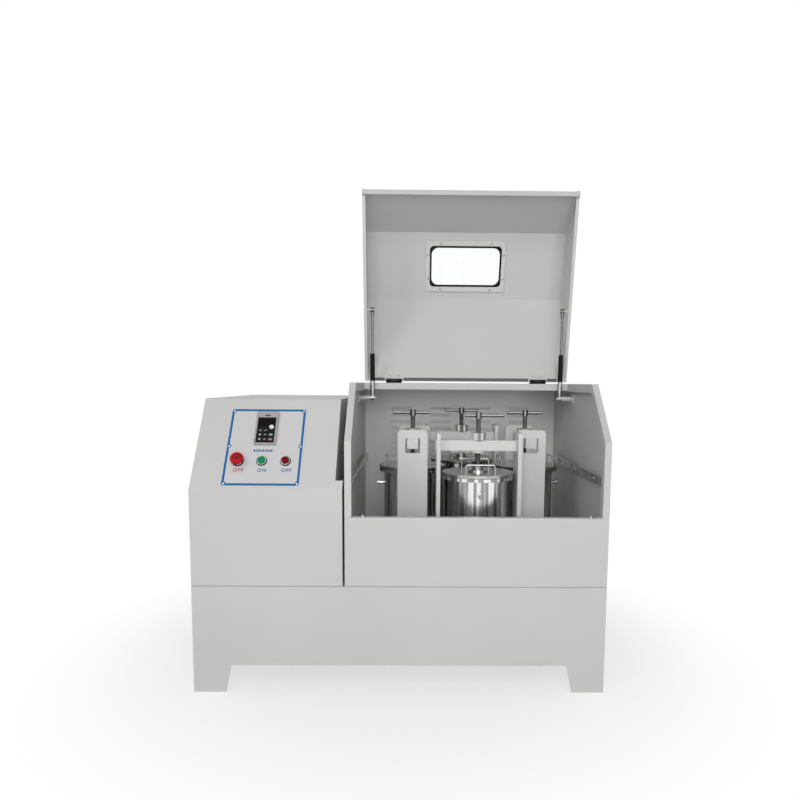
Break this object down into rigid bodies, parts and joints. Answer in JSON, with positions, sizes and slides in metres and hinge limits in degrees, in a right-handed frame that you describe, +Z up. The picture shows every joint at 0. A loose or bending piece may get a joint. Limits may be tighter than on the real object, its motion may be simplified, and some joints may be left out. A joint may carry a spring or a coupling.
{
  "type": "planetary ball mill",
  "caption": "Floor-standing planetary ball mill: clamped grinding jars on a geared carrier under a tilting windowed hood, beside a control cabinet with a sloped panel.",
  "frame": {"origin": "on the floor, under the middle of the machine's width and depth", "axes": "+Z up, +X to the right and -Y towards the operator, as seen from the front"},
  "size_m": [1.25, 0.84, 1.5983],
  "materials": {
    "panel_paint": "powder coat, pale warm grey, satin",
    "frame_paint": "grey paint, satin, worn at the edges",
    "stainless": "turned and polished stainless steel",
    "chrome": "bright plating",
    "zinc_steel": "dark plated steel",
    "strut_black": "black enamel tube with bright end",
    "gear_steel": "machined and oiled steel",
    "cast_iron": "cast, machined on its faces",
    "motor_paint": "blue-grey enamel",
    "belt_rubber": "matt black rubber",
    "control_plate_steel": "printed plate with a blue border",
    "black_plastic": "fine grained black",
    "bezel_metal": "bright ring",
    "red_plastic": "gloss red",
    "green_plastic": "gloss green",
    "window_glass": "clear, slightly grey"
  },
  "bodies": {
    "base": {"base_long_panels": "panel_paint", "base_end_panels": "panel_paint", "base_frame": "panel_paint", "cabinet_cover": "panel_paint", "cabinet_side_walls": "panel_paint", "control_plate": "control_plate_steel", "keypad_housing": "black_plastic", "button_collars": "bezel_metal", "frequency_inverter": "black_plastic", "housing_front_panel": "panel_paint", "housing_side_walls": "panel_paint", "housing_rear_panel": "panel_paint", "housing_top_ledge": "panel_paint", "side_rails": "panel_paint", "hinge_fixed_leaves": "zinc_steel", "strut_brackets": "zinc_steel", "main_bearing_housing": "cast_iron", "sun_gear": "gear_steel", "drive_motor": "motor_paint", "drive_belts": "belt_rubber"},
    "rotor": {"carrier_disc": "gear_steel", "main_shaft": "gear_steel", "driven_pulley": "cast_iron"},
    "motor_rotor": {"motor_pulley": "cast_iron"},
    "hood": {"hood_shell": "panel_paint", "window_frame": "panel_paint", "window_pane": "window_glass", "hood_fittings": "zinc_steel"},
    "strut_cylinder_left": {"strut_cylinder_left": "strut_black"},
    "strut_rod_left": {"strut_rod_left": "chrome"},
    "strut_cylinder_right": {"strut_cylinder_right": "strut_black"},
    "strut_rod_right": {"strut_rod_right": "chrome"},
    "station_1": {"jar_frame_1": "frame_paint", "crossbar_1": "frame_paint", "milling_jar_1": "stainless", "jar_lid_1": "stainless"},
    "foot_1": {"pressure_foot_1": "chrome"},
    "screw_1": {"clamp_screw_1": "chrome"},
    "station_2": {"jar_frame_2": "frame_paint", "crossbar_2": "frame_paint", "milling_jar_2": "stainless", "jar_lid_2": "stainless"},
    "foot_2": {"pressure_foot_2": "chrome"},
    "screw_2": {"clamp_screw_2": "chrome"},
    "station_3": {"jar_frame_3": "frame_paint", "crossbar_3": "frame_paint", "milling_jar_3": "stainless", "jar_lid_3": "stainless"},
    "foot_3": {"pressure_foot_3": "chrome"},
    "screw_3": {"clamp_screw_3": "chrome"},
    "station_4": {"jar_frame_4": "frame_paint", "crossbar_4": "frame_paint", "milling_jar_4": "stainless", "jar_lid_4": "stainless"},
    "foot_4": {"pressure_foot_4": "chrome"},
    "screw_4": {"clamp_screw_4": "chrome"},
    "emergency_stop": {"emergency_stop": "red_plastic"},
    "start_button": {"start_button": "green_plastic"},
    "stop_button": {"stop_button": "red_plastic"},
    "speed_knob": {"speed_knob": "black_plastic"}
  },
  "joints": [
    {"name": "hood_hinge", "type": "hinge", "parent": "base", "child": "hood", "pos_m": [0.23, 0.106, 0.949], "axis": [1, 0, 0], "range_deg": [0, 117]},
    {"name": "strut_left_swing", "type": "hinge", "parent": "base", "child": "strut_cylinder_left", "pos_m": [-0.113, 0.084, 0.886], "axis": [1, 0, 0], "range_deg": [0, 111.41]},
    {"name": "strut_left_slide", "type": "slide", "parent": "strut_cylinder_left", "child": "strut_rod_left", "axis": [0, -0.0286, 0.9996], "range_m": [-0.1115, 0]},
    {"name": "strut_right_swing", "type": "hinge", "parent": "base", "child": "strut_cylinder_right", "pos_m": [0.573, 0.084, 0.886], "axis": [1, 0, 0], "range_deg": [0, 111.41]},
    {"name": "strut_right_slide", "type": "slide", "parent": "strut_cylinder_right", "child": "strut_rod_right", "axis": [0, -0.0286, 0.9996], "range_m": [-0.1115, 0]},
    {"name": "rotor_spin", "type": "hinge", "parent": "base", "child": "rotor", "pos_m": [0.235, -0.01, 0.38], "axis": [0, 0, 1], "continuous": true},
    {"name": "motor_spin", "type": "hinge", "parent": "base", "child": "motor_rotor", "pos_m": [-0.395, -0.01, 0.2], "axis": [0, 0, 1], "continuous": true},
    {"name": "station_1_spin", "type": "hinge", "parent": "rotor", "child": "station_1", "pos_m": [0.24895, -0.20951, 0.4], "axis": [0, 0, 1], "continuous": true},
    {"name": "foot_1_lift", "type": "slide", "parent": "station_1", "child": "foot_1", "axis": [0, 0, 1], "range_m": [0, 0.0201]},
    {"name": "screw_1_turn", "type": "hinge", "parent": "foot_1", "child": "screw_1", "pos_m": [0.24895, -0.20951, 0.838], "axis": [0, 0, 1], "range_deg": [0, 3600]},
    {"name": "station_2_spin", "type": "hinge", "parent": "rotor", "child": "station_2", "pos_m": [0.43451, 0.00395, 0.4], "axis": [0, 0, 1], "continuous": true},
    {"name": "foot_2_lift", "type": "slide", "parent": "station_2", "child": "foot_2", "axis": [0, 0, 1], "range_m": [0, 0.0201]},
    {"name": "screw_2_turn", "type": "hinge", "parent": "foot_2", "child": "screw_2", "pos_m": [0.43451, 0.00395, 0.838], "axis": [0, 0, 1], "range_deg": [0, 3600]},
    {"name": "station_3_spin", "type": "hinge", "parent": "rotor", "child": "station_3", "pos_m": [0.22105, 0.18951, 0.4], "axis": [0, 0, 1], "continuous": true},
    {"name": "foot_3_lift", "type": "slide", "parent": "station_3", "child": "foot_3", "axis": [0, 0, 1], "range_m": [0, 0.0201]},
    {"name": "screw_3_turn", "type": "hinge", "parent": "foot_3", "child": "screw_3", "pos_m": [0.22105, 0.18951, 0.838], "axis": [0, 0, 1], "range_deg": [0, 3600]},
    {"name": "station_4_spin", "type": "hinge", "parent": "rotor", "child": "station_4", "pos_m": [0.03549, -0.02395, 0.4], "axis": [0, 0, 1], "continuous": true},
    {"name": "foot_4_lift", "type": "slide", "parent": "station_4", "child": "foot_4", "axis": [0, 0, 1], "range_m": [0, 0.0201]},
    {"name": "screw_4_turn", "type": "hinge", "parent": "foot_4", "child": "screw_4", "pos_m": [0.03549, -0.02395, 0.838], "axis": [0, 0, 1], "range_deg": [0, 3600]},
    {"name": "emergency_stop_push", "type": "slide", "parent": "base", "child": "emergency_stop", "axis": [0, 0.8137, -0.5812], "range_m": [0, 0.004], "stiffness_N_per_m": 800, "springref_m": -0.002},
    {"name": "start_push", "type": "slide", "parent": "base", "child": "start_button", "axis": [0, 0.8137, -0.5812], "range_m": [0, 0.003], "stiffness_N_per_m": 600, "springref_m": -0.002},
    {"name": "stop_push", "type": "slide", "parent": "base", "child": "stop_button", "axis": [0, 0.8137, -0.5812], "range_m": [0, 0.003], "stiffness_N_per_m": 600, "springref_m": -0.002},
    {"name": "speed_knob_turn", "type": "hinge", "parent": "base", "child": "speed_knob", "pos_m": [-0.4005, -0.30271, 0.79898], "axis": [0, -0.8137, 0.5812], "range_deg": [-135, 135]}
  ],
  "couplings": [
    {"joint": "strut_left_swing", "follows": "hood_hinge", "ratio": 0.94969},
    {"joint": "strut_left_slide", "follows": "hood_hinge", "m_per_rad": -0.054245},
    {"joint": "strut_right_swing", "follows": "hood_hinge", "ratio": 0.94969},
    {"joint": "strut_right_slide", "follows": "hood_hinge", "m_per_rad": -0.054245},
    {"joint": "motor_spin", "follows": "rotor_spin", "ratio": 2.5},
    {"joint": "station_1_spin", "follows": "rotor_spin", "ratio": 1},
    {"joint": "foot_1_lift", "follows": "screw_1_turn", "m_per_rad": 0.00031831},
    {"joint": "station_2_spin", "follows": "rotor_spin", "ratio": 1},
    {"joint": "foot_2_lift", "follows": "screw_2_turn", "m_per_rad": 0.00031831},
    {"joint": "station_3_spin", "follows": "rotor_spin", "ratio": 1},
    {"joint": "foot_3_lift", "follows": "screw_3_turn", "m_per_rad": 0.00031831},
    {"joint": "station_4_spin", "follows": "rotor_spin", "ratio": 1},
    {"joint": "foot_4_lift", "follows": "screw_4_turn", "m_per_rad": 0.00031831}
  ]
}
